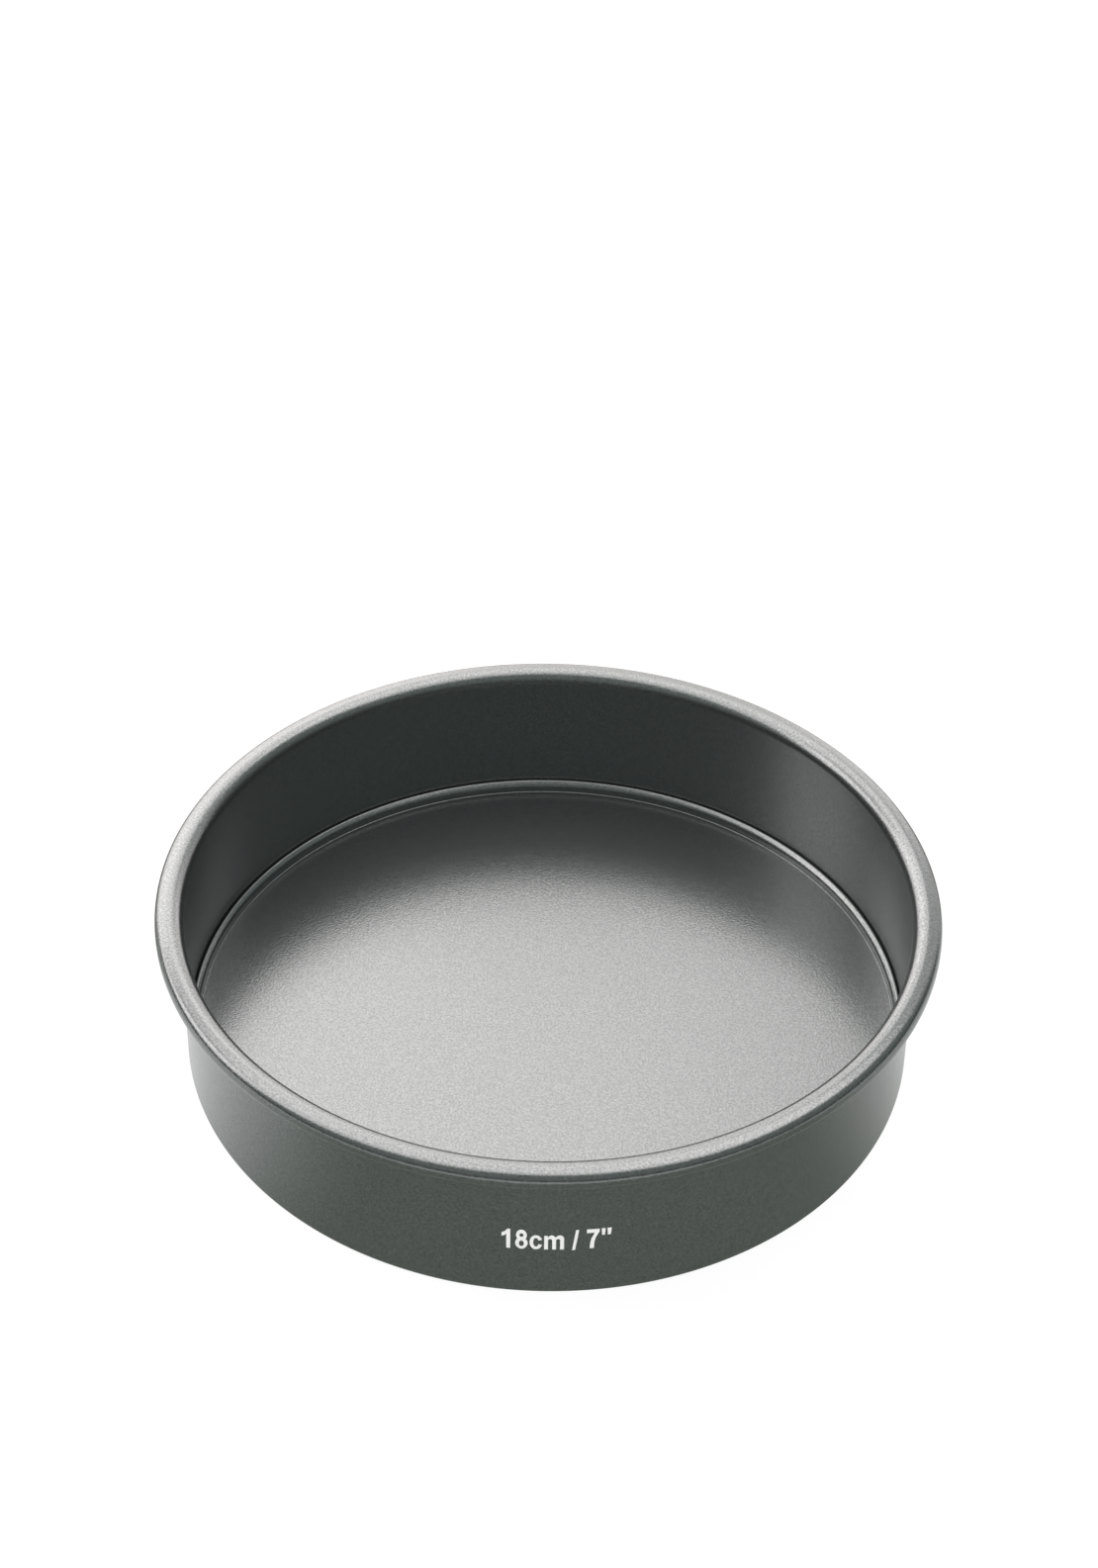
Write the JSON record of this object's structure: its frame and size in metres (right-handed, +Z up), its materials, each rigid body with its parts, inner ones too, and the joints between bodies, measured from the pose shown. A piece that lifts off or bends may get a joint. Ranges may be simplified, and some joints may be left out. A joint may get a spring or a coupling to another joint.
{
  "type": "round cake tin",
  "caption": "Shallow round cake tin with a rolled rim and a loose lift-out base with a turned-up, flared edge, in dark non-stick steel.",
  "frame": {"origin": "centre of the underside, on the surface that the tin stands on", "axes": "+Z up along the axis of the tin, +Y towards the back, -Y towards the side that carries the size mark"},
  "size_m": [0.194, 0.194, 0.043],
  "materials": {
    "tin_body": "dark grey metallic non-stick coating, fine orange peel, half gloss",
    "loose_base": "dark grey metallic non-stick coating, fine orange peel, half gloss"
  },
  "bodies": {
    "tin": {"tin_body": "tin_body"},
    "base": {"loose_base": "loose_base"}
  },
  "joints": [
    {"name": "base_lift", "type": "slide", "parent": "tin", "child": "base", "axis": [0, 0, 1], "range_m": [0, 0.05]}
  ]
}
